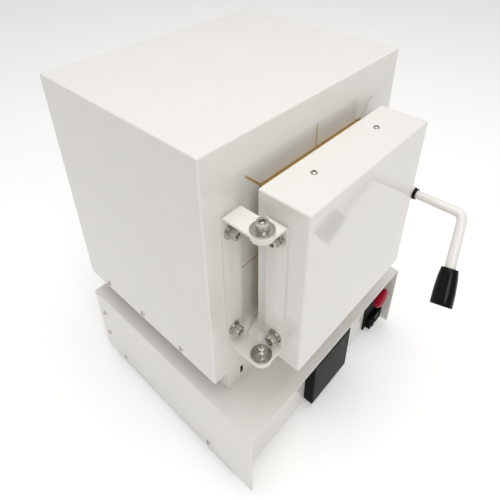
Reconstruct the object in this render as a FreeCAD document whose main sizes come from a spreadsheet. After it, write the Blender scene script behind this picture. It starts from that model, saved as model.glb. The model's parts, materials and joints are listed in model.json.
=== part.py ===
import FreeCAD, Part
import math
import os
import re
import Sketcher

# Bench-top electric muffle furnace: an insulated steel casing on a plinth and a control base,
# with a door on a two-bracket pivot hinge and a turning lever latch. Millimetres, +Z up.
# The door faces -Y. The origin lies on the bench under the middle of the machine's whole outline.

SIZES = {
    # control base
    "foot_height": 8, "foot_radius": 13, "foot_inset": 34,
    "base_height": 136, "base_margin": 5, "base_overhang": 67, "panel_recess": 24,
    "sheet": 1.5, "bend": 2.5, "fold": 14, "tray_fold": 18, "cover_fold": 30, "seam": 0.2,
    "wire_hole": 9, "wire_inset": 16, "vent_width": 4, "vent_height": 46, "vent_pitch": 16,
    # plinth and casing
    "plinth_height": 45, "plinth_inset": 23, "plinth_slot_width": 5.5, "plinth_slot_height": 15.5,
    "plinth_slot_inset": 26, "plinth_slot_rise": 14,
    "casing_width": 375, "casing_depth": 291, "casing_height": 346, "rear_border": 16,
    # doorway, lining and chamber
    "doorway": 207, "doorway_rise": 169, "slot_length": 31, "slot_width": 3,
    "mouth_board": 25, "chamber_width": 160, "chamber_height": 140, "chamber_depth": 170,
    "brick": 32, "rear_pad": 32, "joint": 0.5, "skin_gap": 8,
    "hearth_gauge": 8, "hearth_gap": 7,
    "coil_radius": 5, "coil_groove": 6, "coil_sink": 4, "coil_pitch": 40, "coil_inset": 12,
    "stud_radius": 3, "stud_reach": 14, "bead_radius": 7, "bead_length": 8,
    "sheath_radius": 4, "sheath_reach": 22, "probe_head": 11, "probe_length": 14,
    # door
    "door_width": 250, "door_height": 246, "door_depth": 65, "door_gap": 18, "door_drop": 4.5,
    "plug_gap": 5, "seal_gap": 0.7, "door_fold": 42, "door_screw_spread": 130,
    "door_screw_back": 25,
    # hinge
    "hinge_width": 27, "hinge_gauge": 3, "hinge_bend": 5, "hinge_height": 205, "hinge_rise": 60,
    "pivot_inset": 37.8, "pivot_reach": 45, "pivot_play": 0.08, "ear_gap": 0.3,
    "hinge_bolt_inset": 24, "hinge_bolt_shift": 3,
    # bolts, nuts, washers and screws
    "bolt_radius": 4, "bolt_head_radius": 6.6, "bolt_head_height": 8, "bolt_key": 3.4,
    "washer_radius": 9.5, "pivot_washer": 13, "washer_gauge": 1.8, "spring_gauge": 2,
    "spring_radius": 7.4, "nut_height": 6.5, "nut_radius": 7.5, "nut_pocket": 9,
    "bolt_end": 2, "pivot_end": 5, "screw_radius": 1.9, "screw_head": 3.9, "screw_dome": 2.2,
    "screw_length": 7, "play": 0.3,
    # latch
    "bush_radius": 9.5, "bush_play": 0.08, "bush_inset": 1, "lever_radius": 6,
    "lever_neck": 6.6, "lever_end": 7.1, "spigot_radius": 5, "spigot_length": 22,
    "lever_reach": 69, "lever_leg": 73.5, "lever_bend": 11, "lever_lean": 11.6,
    "lever_rest": 45, "latch_drop": 2.5, "grip_length": 49, "grip_neck": 11,
    "grip_radius": 13.9, "grip_edge": 1.5, "grip_dome": 1.5,
    "collar_radius": 8.2, "collar_length": 4, "tongue_length": 28, "tongue_width": 14,
    "tongue_gauge": 5, "tongue_stand": 6, "keeper_gauge": 3, "keeper_play": 1,
    "keeper_lip": 14, "keeper_height": 46, "keeper_flange": 13, "keeper_screw": 14,
    # controls on the front panel
    "bezel_width": 96, "bezel_depth": 16.4, "bezel_low": 11, "bezel_shift": 6.2, "bezel_rim": 4,
    "case_width": 90, "case_depth": 78, "window_gauge": 2,
    "switch_width": 50, "switch_height": 100, "switch_gauge": 3, "switch_low": 6,
    "switch_shift": 161.5, "stop_rise": 82.5, "stop_radius": 18.5, "stop_rim": 5, "stop_dome": 6,
    "stop_neck": 9, "stop_collar": 14, "collar_proud": 3, "stop_travel": 4.5, "stop_stand": 8.5,
    "stop_tail": 12,
    "frame_width": 40, "frame_height": 26, "frame_proud": 8, "frame_depth": 16, "frame_rim": 4.5,
    "rocker_axis": 4, "rocker_ridge": 3, "rocker_face": 10, "rocker_throw": 16,
    # inside the base and at its back
    "relay_width": 45, "relay_length": 60, "relay_height": 30, "sink_gauge": 6,
    "strip_length": 82, "strip_width": 24, "strip_height": 18,
    "gland_radius": 11, "gland_length": 22, "gland_bore": 4.2, "gland_thread": 7.7,
    "gland_rise": 40, "gland_shift": 130,
}

doc = FreeCAD.newDocument("muffle_furnace")
dims = doc.addObject("Spreadsheet::Sheet", "dims")
for row, (alias, number) in enumerate(SIZES.items(), 1):
    dims.set(f"A{row}", alias)
    dims.set(f"B{row}", str(number))
    dims.setAlias(f"B{row}", alias)
doc.recompute()

WORD = re.compile(r"\b[a-z]+(?:_[a-z]+)*\b(?!\()")
NODES = []


def formula(text):
    """An expression in which every word that is no function is the name of a size."""
    return WORD.sub(lambda word: "dims." + word.group(), str(text))


def value(text):
    return float(dims.evalExpression(formula(text)))


def bind(item, prop, text):
    item.setExpression(prop, formula(text))


def place(item, x, y, z, turn=(0, 0, 1, 0)):
    """Puts an item's own origin at x, y, z, turned by a rotation or by an axis and an angle."""
    if not isinstance(turn, FreeCAD.Rotation):
        turn = FreeCAD.Rotation(FreeCAD.Vector(*turn[:3]), turn[3])
    item.Placement = FreeCAD.Placement(FreeCAD.Vector(), turn)
    for letter, text in zip("xyz", (x, y, z)):
        bind(item, "Placement.Base." + letter, text)
    return item


def block(length, width, height, x, y, z, turn=(0, 0, 1, 0)):
    box = doc.addObject("Part::Box", "block")
    for prop, text in zip(("Length", "Width", "Height"), (length, width, height)):
        bind(box, prop, text)
    return place(box, x, y, z, turn)


ALONG = {"x": (0, 1, 0, 90), "-x": (0, 1, 0, -90), "y": (1, 0, 0, -90), "-y": (1, 0, 0, 90),
         "z": (0, 0, 1, 0), "-z": (1, 0, 0, 180)}


def bar(radius, length, x, y, z, way="z"):
    cylinder = doc.addObject("Part::Cylinder", "bar")
    bind(cylinder, "Radius", radius)
    bind(cylinder, "Height", length)
    return place(cylinder, x, y, z, ALONG[way])


def hexagon(radius, length, x, y, z, way="z"):
    prism = doc.addObject("Part::Prism", "hexagon")
    prism.Polygon = 6
    bind(prism, "Circumradius", radius)
    bind(prism, "Height", length)
    return place(prism, x, y, z, ALONG[way])


def cone(low_radius, high_radius, length, x, y, z, turn):
    taper = doc.addObject("Part::Cone", "cone")
    bind(taper, "Radius1", low_radius)
    bind(taper, "Radius2", high_radius)
    bind(taper, "Height", length)
    return place(taper, x, y, z, turn)


def together(pieces):
    if len(pieces) == 1:
        return pieces[0]
    compound = doc.addObject("Part::Compound", "together")
    compound.Links = pieces
    return compound


def joined(*pieces):
    fusion = doc.addObject("Part::MultiFuse", "joined")
    fusion.Shapes = list(pieces)
    fusion.Refine = True
    return fusion


def shared(*pieces):
    overlap = doc.addObject("Part::MultiCommon", "shared")
    overlap.Shapes = list(pieces)
    return overlap


def cut(base, *tools):
    difference = doc.addObject("Part::Cut", "cut")
    difference.Base = base
    difference.Tool = together(list(tools))
    return difference


def node(label, item):
    item.Label = label
    NODES.append(item)


def nodes(label, pieces):
    """One node that holds a group of like pieces, each its own solid."""
    node(label, together(pieces))


def faces_towards(feature, directions):
    """The names of a feature's flat faces whose outward normals lie along the directions."""
    names = []
    for index, face in enumerate(feature.Shape.Faces, 1):
        if not isinstance(face.Surface, Part.Plane):
            continue
        normal = face.normalAt(0, 0)
        if any(normal.isEqual(FreeCAD.Vector(*way), 1e-6) for way in directions):
            names.append(f"Face{index}")
    return names


def edges_between(feature, pairs):
    """The names of the edges of a plain box that two of its sides share."""
    box = feature.Shape.BoundBox
    limits = {"left": ("x", box.XMin), "right": ("x", box.XMax), "front": ("y", box.YMin),
              "back": ("y", box.YMax), "bottom": ("z", box.ZMin), "top": ("z", box.ZMax)}
    names = []
    for index, edge in enumerate(feature.Shape.Edges, 1):
        middle = edge.CenterOfMass
        for pair in pairs:
            if all(abs(getattr(middle, limits[side][0]) - limits[side][1]) < 1e-6 for side in pair):
                names.append(f"Edge{index}")
    return names


def folded_sheet(name, length, width, height, spot, bends, open_sides, gauge="sheet", bend="bend"):
    """A body folded from sheet: a box with rounded bends, hollowed and left open on some sides."""
    body = doc.addObject("PartDesign::Body", name)
    box = body.newObject("PartDesign::AdditiveBox", name + "_box")
    for prop, text in zip(("Length", "Width", "Height"), (length, width, height)):
        bind(box, prop, text)
    doc.recompute()
    fillet = body.newObject("PartDesign::Fillet", name + "_bends")
    fillet.Base = (box, edges_between(box, bends))
    bind(fillet, "Radius", bend)
    doc.recompute()
    wall = body.newObject("PartDesign::Thickness", name + "_wall")
    wall.Base = (fillet, faces_towards(fillet, open_sides))
    wall.Reversed = True
    bind(wall, "Value", gauge)
    body.Tip = wall
    return place(body, *spot)


def turned(name, outline, x, y, z, turn):
    """A body turned on a lathe: outline points are (radius, height) pairs of expressions."""
    body = doc.addObject("PartDesign::Body", name)
    sketch = body.newObject("Sketcher::SketchObject", name + "_outline")
    plane = next(f for f in body.Origin.OriginFeatures if f.Role == "XZ_Plane")
    sketch.AttachmentSupport = [(plane, "")]
    sketch.MapMode = "FlatFace"
    corners = [FreeCAD.Vector(value(radius), value(height)) for radius, height in outline]
    for start, end in zip(corners, corners[1:] + corners[:1]):
        sketch.addGeometry(Part.LineSegment(start, end), False)
    count = len(outline)
    for index in range(count):
        sketch.addConstraint(Sketcher.Constraint("Coincident", index, 2, (index + 1) % count, 1))
    for index, spot in enumerate(outline):
        for kind, text, line in zip(("DistanceX", "DistanceY"), spot, (-2, -1)):
            if text == "0":
                sketch.addConstraint(Sketcher.Constraint("PointOnObject", index, 1, line))
                continue
            rule = Sketcher.Constraint(kind, -1, 1, index, 1, value(text))
            bind(sketch, f"Constraints[{sketch.addConstraint(rule)}]", text)
    doc.recompute()
    revolution = body.newObject("PartDesign::Revolution", name + "_turn")
    revolution.Profile = sketch
    revolution.ReferenceAxis = (sketch, ["V_Axis"])
    revolution.Angle = 360
    body.Tip = revolution
    return place(body, x, y, z, turn)


# Levels and planes, as expressions of the sizes above.
REACH = ("(door_gap + door_depth + lever_reach + grip_radius * cos(lever_lean)"
         " + (lever_leg + grip_length - grip_edge - grip_dome) * sin(lever_lean))")
FRONT = f"(({REACH} - casing_depth - gland_length) / 2)"
BACK = f"({FRONT} + casing_depth)"
BASE_FRONT = f"({FRONT} - base_overhang)"
PANEL = f"({BASE_FRONT} + panel_recess)"
BASE_LOW = "foot_height"
BASE_TOP = "(foot_height + base_height)"
CASING_LOW = f"({BASE_TOP} + plinth_height)"
CASING_TOP = f"({CASING_LOW} + casing_height)"
BASE_WIDTH = "(casing_width + 2 * base_margin)"
INNER_BASE = f"({BASE_WIDTH} - 2 * sheet - 2 * seam)"
EYE = f"({CASING_LOW} + doorway_rise)"


def moved(x, y, z, way, distance):
    """The point that lies a distance along a way from x, y, z."""
    spot = {"x": x, "y": y, "z": z}
    sign = "-" if "-" in way else "+"
    spot[way[-1]] = f"{spot[way[-1]]} {sign} ({distance})"
    return spot["x"], spot["y"], spot["z"]


def opposite(way):
    return way[1:] if "-" in way else "-" + way


def screw(x, y, z, way):
    """A pan-head screw: its head stands on the point and its shank runs the way given."""
    out = opposite(way)
    shank = bar("screw_radius", "screw_length", x, y, z, way)
    head = cone("screw_head", "screw_head * 0.6", "screw_dome", x, y, z, ALONG[out])
    cross = hexagon("screw_head * 0.4", "screw_dome", *moved(x, y, z, out, "screw_dome / 2"), out)
    return joined(shank, cut(head, cross))


def ring(outer, inner, gauge, x, y, z, way):
    return cut(bar(outer, gauge, x, y, z, way), bar(inner, gauge, x, y, z, way))


def split_ring(x, y, z, way):
    """A spring washer: a ring with one saw cut."""
    whole = ring("spring_radius", "bolt_radius", "spring_gauge", x, y, z, way)
    across = "x" if "z" in way else "z"
    width = {letter: "1.2" for letter in "xyz"}
    corner = {letter: f"{text} - 0.6" for letter, text in zip("xyz", (x, y, z))}
    width[across] = "spring_radius + 1"
    corner[across] = dict(zip("xyz", (x, y, z)))[across]
    width[way[-1]] = "2 * spring_gauge + 2"
    corner[way[-1]] = dict(zip("xyz", (x, y, z)))[way[-1]] + " - spring_gauge - 1"
    return cut(whole, block(width["x"], width["y"], width["z"],
                            corner["x"], corner["y"], corner["z"]))


def socket_bolt(x, y, z, way, reach):
    """A socket-head bolt: its head stands on the point and its shank runs the way given."""
    out = opposite(way)
    head = bar("bolt_head_radius", "bolt_head_height", x, y, z, out)
    key = hexagon("bolt_key", "bolt_head_height", *moved(x, y, z, out, "bolt_head_height / 2"), out)
    return joined(cut(head, key), bar("bolt_radius", reach, x, y, z, way))


def nut(x, y, z, way):
    return cut(hexagon("nut_radius", "nut_height", x, y, z, way),
               bar("bolt_radius", "nut_height", x, y, z, way))


def side_pair(half_width, y, z, make):
    """One thing on the left side and its twin on the right, each made pointing inwards."""
    return [make(f"0 - {half_width}", y, z, "x"), make(half_width, y, z, "-x")]


def screw_hole(x, y, z, way):
    return bar("screw_radius", "12", *moved(x, y, z, opposite(way), "1"), way)


# Control base: a bent top-and-sides cover, a recessed front panel, a tray and a rear cover.
SIDE_SCREWS = [(f"{BACK} - 17.5", f"{BASE_LOW} + 93"), (f"{BACK} - 17.5", f"{BASE_LOW} + 40.5"),
               (f"{BACK} - 59", f"{BASE_LOW} + 11"), (f"{FRONT} + 21", f"{BASE_LOW} + 11")]
base_half = f"({BASE_WIDTH} / 2)"
upper_holes = [hole for y, z in SIDE_SCREWS[:2] for hole in side_pair(base_half, y, z, screw_hole)]
lower_holes = [hole for y, z in SIDE_SCREWS[2:] for hole in side_pair(base_half, y, z, screw_hole)]
wire_way = bar("wire_hole", "casing_height / 2", "0", f"{BACK} - wire_inset", f"{BASE_LOW} + 20")

cover = folded_sheet("base_cover_sheet", BASE_WIDTH, "casing_depth + base_overhang", "base_height",
                     (f"0 - {base_half}", BASE_FRONT, BASE_LOW),
                     [("left", "top"), ("right", "top")], [(0, 0, -1), (0, -1, 0), (0, 1, 0)])
node("base_shell", cut(cover, wire_way, *upper_holes, *lower_holes))

inner_left = f"0 - {INNER_BASE} / 2"
panel_height = "base_height - sheet - seam"
panel = folded_sheet("front_panel_sheet", INNER_BASE, "fold", panel_height,
                     (inner_left, PANEL, BASE_LOW),
                     [("front", "top"), ("front", "bottom")], [(0, 1, 0), (-1, 0, 0), (1, 0, 0)])
BEZEL_LOW = f"({BASE_LOW} + bezel_low)"
BEZEL_LEFT = "(bezel_shift - bezel_width / 2)"
CASE_LEFT = "(bezel_shift - case_width / 2)"
CASE_LOW = f"({BEZEL_LOW} + bezel_width / 2 - case_width / 2)"
STOP_Z = f"({BASE_LOW} + stop_rise)"
FRAME_LEFT = "(switch_shift + switch_width / 2 - frame_width)"
FRAME_LOW = f"({BASE_LOW} + switch_low)"
ROCKER_X = f"({FRAME_LEFT} + frame_width / 2)"
ROCKER_Z = f"({FRAME_LOW} + frame_height / 2)"
case_hole = block("case_width + 2 * play", "6", "case_width + 2 * play",
                  f"{CASE_LEFT} - play", f"{PANEL} - 2", f"{CASE_LOW} - play")
stop_hole = bar("stop_neck + play", "switch_gauge + 6", "switch_shift",
                f"{PANEL} - switch_gauge - 2", STOP_Z, "y")
rocker_hole = block("frame_width - frame_rim + play", "switch_gauge + 6",
                    "frame_height - frame_rim + play",
                    f"{FRAME_LEFT} + frame_rim / 2 - play / 2", f"{PANEL} - switch_gauge - 2",
                    f"{FRAME_LOW} + frame_rim / 2 - play / 2")
node("base_front_panel", cut(panel, case_hole, stop_hole, rocker_hole))

tray_front = f"({PANEL} + fold + seam)"
tray = folded_sheet("base_tray_sheet", INNER_BASE, f"{BACK} - cover_fold - seam - {tray_front}",
                    "tray_fold", (inner_left, tray_front, BASE_LOW),
                    [("left", "bottom"), ("right", "bottom")], [(0, 0, 1), (0, -1, 0), (0, 1, 0)])
node("base_floor", cut(tray, *lower_holes))

rear = folded_sheet("base_rear_sheet", INNER_BASE, "cover_fold", panel_height,
                    (inner_left, f"{BACK} - cover_fold", BASE_LOW),
                    [("left", "back"), ("right", "back")], [(0, -1, 0), (0, 0, 1)])
vents = [block("vent_width", "6", "vent_height", f"{step} * vent_pitch - vent_width / 2",
               f"{BACK} - 4", f"{BASE_TOP} - vent_height - 20") for step in range(-4, 5)]
GLAND_Z = f"({BASE_LOW} + gland_rise)"
gland_hole = bar("gland_thread", "6", "0 - gland_shift", f"{BACK} - 4", GLAND_Z, "y")
node("base_rear_cover", cut(rear, gland_hole, *vents, *upper_holes))

nodes("base_screws", [item for y, z in SIDE_SCREWS for item in side_pair(base_half, y, z, screw)])

foot_outline = [("0", "0"), ("foot_radius - 2", "0"), ("foot_radius", "foot_height"),
                ("0", "foot_height")]
nodes("rubber_feet", [turned("foot", foot_outline, f"{side} * ({base_half} - foot_inset)", y, "0",
                             (0, 0, 1, 0))
                      for side in (-1, 1)
                      for y in (f"{tray_front} + foot_inset", f"{BACK} - 30 - foot_inset")])

# Plinth: a short open box between the base and the casing, with an air slot near each end.
PLINTH_WIDTH = "(casing_width - 2 * plinth_inset)"
plinth_inside = block(f"{PLINTH_WIDTH} - 2 * sheet", "casing_depth - 2 * sheet", "plinth_height",
                      f"sheet - {PLINTH_WIDTH} / 2", f"{FRONT} + sheet", BASE_TOP)
plinth_slots = [block("plinth_slot_width", "6", "plinth_slot_height",
                      f"{side} * ({PLINTH_WIDTH} / 2 - plinth_slot_inset) - plinth_slot_width / 2",
                      f"{FRONT} - 2", f"{BASE_TOP} + plinth_slot_rise") for side in (-1, 1)]
node("plinth", cut(block(PLINTH_WIDTH, "casing_depth", "plinth_height",
                         f"0 - {PLINTH_WIDTH} / 2", FRONT, BASE_TOP),
                   plinth_inside, *plinth_slots))

# Casing: a welded hood with the doorway in its front, a tray under it and a cover behind.
CASING_SCREWS = [(f"{FRONT} + {step}", f"{CASING_LOW} + 9.5") for step in (66, 151.5, 237)]
casing_half = "(casing_width / 2)"
casing_holes = [hole for y, z in CASING_SCREWS for hole in side_pair(casing_half, y, z, screw_hole)]
hood = folded_sheet("casing_sheet", "casing_width", "casing_depth", "casing_height",
                    (f"0 - {casing_half}", FRONT, CASING_LOW),
                    [("left", "top"), ("right", "top"), ("front", "top"), ("front", "left"),
                     ("front", "right"), ("left", "back"), ("right", "back"), ("back", "top")],
                    [(0, 0, -1)])
doorway = block("doorway", "10", "doorway", "0 - doorway / 2", f"{FRONT} - 4",
                f"{EYE} - doorway / 2")
rear_window = block("casing_width - 2 * rear_border", "10", "casing_height",
                    f"rear_border - {casing_half}", f"{BACK} - 5", f"{CASING_LOW} - rear_border")

# Expansion slots run out from the doorway: one from each corner and one from each side's middle.
slots = []
for step in range(8):
    angle = math.radians(45 * step)
    cosine = round(math.cos(angle), 6)
    sine = round(math.sin(angle), 6)
    start = "(doorway / 2 - 2)" if step % 2 == 0 else "(doorway * 0.70711 - 2)"
    slots.append(block("slot_length + 2", "10", "slot_width",
                       f"{cosine} * {start} + {sine} * slot_width / 2", f"{FRONT} - 4",
                       f"{EYE} + {sine} * {start} - {cosine} * slot_width / 2",
                       (0, -1, 0, 45 * step)))

PIVOT_X = f"(pivot_inset - {casing_half})"
PIVOT_Y = f"({FRONT} - pivot_reach)"
HINGE_LOW = f"({CASING_LOW} + hinge_rise)"
HINGE_TOP = f"({HINGE_LOW} + hinge_height)"
HINGE_BOLTS = [f"({HINGE_LOW} + hinge_bolt_inset)", f"({HINGE_TOP} - hinge_bolt_inset)"]
CASING_BOLT_X = f"({PIVOT_X} - hinge_bolt_shift)"
casing_bolt_holes = [bar("bolt_radius + play", "hinge_gauge + 8", CASING_BOLT_X,
                         f"{FRONT} - hinge_gauge - 2", z, "y") for z in HINGE_BOLTS]
LATCH_X = "(door_width / 2 + bush_radius)"
LATCH_Z = f"({EYE} - latch_drop)"
KEEPER_X = f"({LATCH_X} + tongue_length + tongue_width / 2)"
KEEPER_SCREWS = [(f"{KEEPER_X} + keeper_gauge + keeper_flange / 2",
                  f"{LATCH_Z} + {side} * keeper_screw") for side in (-1, 1)]
keeper_holes = [bar("screw_radius", "keeper_gauge + 6", x, f"{FRONT} - keeper_gauge - 2", z, "y")
                for x, z in KEEPER_SCREWS]
REAR_SCREWS = [(f"{side} * ({casing_half} - rear_border * 0.55)",
                f"{CASING_LOW} + {part} * casing_height")
               for side in (-1, 1) for part in (0.12, 0.5, 0.88)]
rear_holes = [bar("screw_radius", "12", x, f"{BACK} - 6", z, "y") for x, z in REAR_SCREWS]
node("casing_shell", cut(hood, doorway, rear_window, *slots, *casing_holes, *casing_bolt_holes,
                         *keeper_holes, *rear_holes))

pan_half = f"({casing_half} - sheet - seam)"
pan = folded_sheet("casing_tray_sheet", f"2 * {pan_half}", "casing_depth - 2 * sheet - 2 * seam",
                   "tray_fold", (f"0 - {pan_half}", f"{FRONT} + sheet + seam", CASING_LOW),
                   [("left", "bottom"), ("right", "bottom")], [(0, 0, 1), (0, -1, 0), (0, 1, 0)])
node("casing_floor", cut(pan, wire_way, *casing_holes))

cover_half = f"({casing_half} - rear_border / 4)"
node("casing_rear_cover", cut(block(f"2 * {cover_half}", "sheet", "casing_height - 6",
                                    f"0 - {cover_half}", BACK, f"{CASING_LOW} + 2"), *rear_holes))
nodes("casing_screws", [item for y, z in CASING_SCREWS
                        for item in side_pair(casing_half, y, z, screw)]
      + [screw(x, f"{BACK} + sheet", z, "-y") for x, z in REAR_SCREWS])

# Lining: a board behind the doorway, firebrick round the chamber and wool packed about it.
BOARD_FRONT = f"({FRONT} + sheet + seam)"
LINING_FRONT = f"({BOARD_FRONT} + mouth_board + joint)"
LINING_BACK = f"({LINING_FRONT} + chamber_depth)"
REAR_FRONT = f"({LINING_BACK} + joint)"
REAR_BACK = f"({REAR_FRONT} + brick)"
PAD_FRONT = f"({REAR_BACK} + joint)"
PAD_BACK = f"({PAD_FRONT} + rear_pad)"
skin = f"({casing_half} - sheet - skin_gap)"
PACK_LOW = f"({CASING_LOW} + sheet + joint)"
PACK_HEIGHT = "(casing_height - 2 * sheet - 2 * joint)"
CHAMBER_LOW = f"({EYE} - chamber_height / 2)"
chamber_half = "(chamber_width / 2)"
mouth = block("chamber_width", "mouth_board + 4", "chamber_height", f"0 - {chamber_half}",
              f"{BOARD_FRONT} - 2", CHAMBER_LOW)
board_pockets = [bar("nut_pocket", "nut_height + 6", CASING_BOLT_X, f"{FRONT}", z, "y")
                 for z in HINGE_BOLTS]
board_pockets += [bar("screw_head", "screw_length + 3", x, f"{FRONT} - keeper_gauge", z, "y")
                  for x, z in KEEPER_SCREWS]
node("front_board", cut(block(f"2 * {skin}", "mouth_board", PACK_HEIGHT, f"0 - {skin}",
                              BOARD_FRONT, PACK_LOW), mouth, *board_pockets))

brick_half = f"({chamber_half} + joint + brick)"
node("lining_floor", block(f"2 * {brick_half}", "chamber_depth", "brick", f"0 - {brick_half}",
                           LINING_FRONT, f"{CHAMBER_LOW} - brick"))
node("lining_roof", block(f"2 * {brick_half}", "chamber_depth", "brick", f"0 - {brick_half}",
                          LINING_FRONT, f"{CHAMBER_LOW} + chamber_height"))
COIL_LEVELS = [f"({CHAMBER_LOW} + chamber_height / 2 + {step} * coil_pitch)" for step in (-1, 0, 1)]
for side, label in ((-1, "lining_left"), (1, "lining_right")):
    start = f"{side} * ({chamber_half} + brick / 2) - brick / 2"
    brick_block = block("brick", "chamber_depth", "chamber_height - 2 * joint", start,
                        LINING_FRONT, f"{CHAMBER_LOW} + joint")
    grooves = [bar("coil_groove", "chamber_depth + 4", f"{side} * ({chamber_half} + coil_sink)",
                   f"{LINING_FRONT} - 2", z, "y") for z in COIL_LEVELS]
    node(label, cut(brick_block, *grooves))

coils = []
studs = []
stud_holes = []
for side in (-1, 1):
    coil_x = f"{side} * ({chamber_half} + coil_sink)"
    for z in COIL_LEVELS:
        coils.append(bar("coil_radius", "chamber_depth - coil_inset", coil_x,
                         f"{LINING_FRONT} + coil_inset", z, "y"))
        stud = bar("stud_radius", f"{PAD_BACK} + stud_reach - {LINING_BACK}", coil_x, LINING_BACK,
                   z, "y")
        studs.append(joined(stud, bar("bead_radius", "bead_length", coil_x, PAD_BACK, z, "y")))
        stud_holes.append(bar("stud_radius + joint", "brick + rear_pad + 8", coil_x,
                              f"{LINING_BACK} - 2", z, "y"))
PROBE_Z = f"({CHAMBER_LOW} + chamber_height - 25)"
probe_hole = bar("sheath_radius + joint", "brick + rear_pad + 8", "0", f"{LINING_BACK} - 2",
                 PROBE_Z, "y")
node("lining_rear", cut(block(f"2 * {brick_half}", "brick", "chamber_height + 2 * brick",
                              f"0 - {brick_half}", REAR_FRONT, f"{CHAMBER_LOW} - brick"),
                        probe_hole, *stud_holes))
node("insulation_rear", cut(block(f"2 * {skin}", "rear_pad", PACK_HEIGHT, f"0 - {skin}",
                                  PAD_FRONT, PACK_LOW), probe_hole, *stud_holes))
wrap = block(f"2 * {skin}", f"{PAD_FRONT} - joint - {LINING_FRONT}", PACK_HEIGHT, f"0 - {skin}",
             LINING_FRONT, PACK_LOW)
core = block(f"2 * ({brick_half} + joint)", "casing_depth", "chamber_height + 2 * brick + 2 * joint",
             f"0 - {brick_half} - joint", f"{LINING_FRONT} - 10", f"{CHAMBER_LOW} - brick - joint")
node("insulation_wrap", cut(wrap, core))
nodes("heating_coils", coils)
nodes("element_terminals", studs)
node("hearth_plate", block("chamber_width - 2 * hearth_gap", "chamber_depth - 2 * hearth_gap",
                           "hearth_gauge", f"hearth_gap - {chamber_half}",
                           f"{LINING_FRONT} + hearth_gap", CHAMBER_LOW))
sheath = bar("sheath_radius", f"{PAD_BACK} - {LINING_BACK} + sheath_reach", "0",
             f"{LINING_BACK} - sheath_reach", PROBE_Z, "y")
probe = bar("probe_head", "probe_length", "0", PAD_BACK, PROBE_Z, "y")
node("thermocouple_sheath", joined(sheath, probe))

# Door: a bent steel pan closed by a folded back plate, with wool inside and a plug behind.
DOOR_LEFT = "(0 - door_width / 2)"
DOOR_BACK = f"({FRONT} - door_gap)"
DOOR_FRONT = f"({DOOR_BACK} - door_depth)"
DOOR_LOW = f"({EYE} - door_drop - door_height / 2)"
DOOR_TOP = f"({DOOR_LOW} + door_height)"
DOOR_BOLT_Y = f"({PIVOT_Y} - hinge_bolt_shift)"
door_bolt_holes = [bar("bolt_radius + play", "hinge_gauge + 12", f"{DOOR_LEFT} - hinge_gauge - 2",
                       DOOR_BOLT_Y, z, "x") for z in HINGE_BOLTS]
DOOR_SCREWS = [(f"{side} * door_screw_spread / 2", f"{DOOR_BACK} - door_screw_back", z, way)
               for side in (-1, 1) for z, way in ((DOOR_TOP, "-z"), (DOOR_LOW, "z"))]
door_screw_holes = [screw_hole(x, y, z, way) for x, y, z, way in DOOR_SCREWS]
door_pan = folded_sheet("door_sheet", "door_width", "door_depth", "door_height",
                        (DOOR_LEFT, DOOR_FRONT, DOOR_LOW),
                        [("left", "front"), ("right", "front"), ("top", "front"),
                         ("bottom", "front"), ("left", "top"), ("right", "top"),
                         ("left", "bottom"), ("right", "bottom")], [(0, 1, 0)])
node("door_shell", cut(door_pan, *door_bolt_holes, *door_screw_holes))

inset = "(sheet + seam)"
back_plate = folded_sheet("door_back_sheet", f"door_width - 2 * {inset}", "door_fold",
                          f"door_height - 2 * {inset}",
                          (f"{DOOR_LEFT} + {inset}", f"{DOOR_BACK} - door_fold",
                           f"{DOOR_LOW} + {inset}"),
                          [("left", "back"), ("right", "back"), ("top", "back"),
                           ("bottom", "back"), ("left", "top"), ("right", "top"),
                           ("left", "bottom"), ("right", "bottom")], [(0, -1, 0)])
node("door_back_plate", cut(back_plate, *door_bolt_holes, *door_screw_holes))

stuffing = "(2 * sheet + seam + joint)"
filling = block(f"door_width - 2 * {stuffing}", "door_depth - 2 * sheet - 2 * joint",
                f"door_height - 2 * {stuffing}", f"{DOOR_LEFT} + {stuffing}",
                f"{DOOR_FRONT} + sheet + joint", f"{DOOR_LOW} + {stuffing}")
nut_pockets = [bar("nut_pocket", "nut_height + 10", DOOR_LEFT, DOOR_BOLT_Y, z, "x")
               for z in HINGE_BOLTS]
screw_pockets = [bar("screw_head", "screw_length + 2", x, y, z, way)
                 for x, y, z, way in DOOR_SCREWS]
node("door_filling", cut(filling, *nut_pockets, *screw_pockets))

plug_size = "(doorway - 2 * plug_gap)"
PLUG_LOW = f"({EYE} - {plug_size} / 2)"
node("door_plug", block(plug_size, f"{BOARD_FRONT} - seal_gap - {DOOR_BACK}", plug_size,
                        f"0 - {plug_size} / 2", DOOR_BACK, PLUG_LOW))
nodes("door_screws", [screw(x, y, z, way) for x, y, z, way in DOOR_SCREWS])

# Hinge: one folded bracket on the casing and one on the door, their ears paired at each pivot.
casing_channel = folded_sheet("casing_bracket_sheet", "hinge_width",
                              "pivot_reach + hinge_width / 2", "hinge_height",
                              (f"{PIVOT_X} - hinge_width / 2",
                               f"{PIVOT_Y} - hinge_width / 2", HINGE_LOW),
                              [("back", "top"), ("back", "bottom")],
                              [(-1, 0, 0), (1, 0, 0), (0, -1, 0)], "hinge_gauge", "hinge_bend")
casing_outline = joined(bar("hinge_width / 2", "hinge_height", PIVOT_X, PIVOT_Y, HINGE_LOW),
                        block("hinge_width", "pivot_reach", "hinge_height",
                              f"{PIVOT_X} - hinge_width / 2", PIVOT_Y, HINGE_LOW))
casing_pivot_hole = bar("bolt_radius", "hinge_height + 4", PIVOT_X, PIVOT_Y, f"{HINGE_LOW} - 2")
node("hinge_bracket_casing", cut(shared(casing_channel, casing_outline), casing_pivot_hole,
                                 *casing_bolt_holes))

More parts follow.
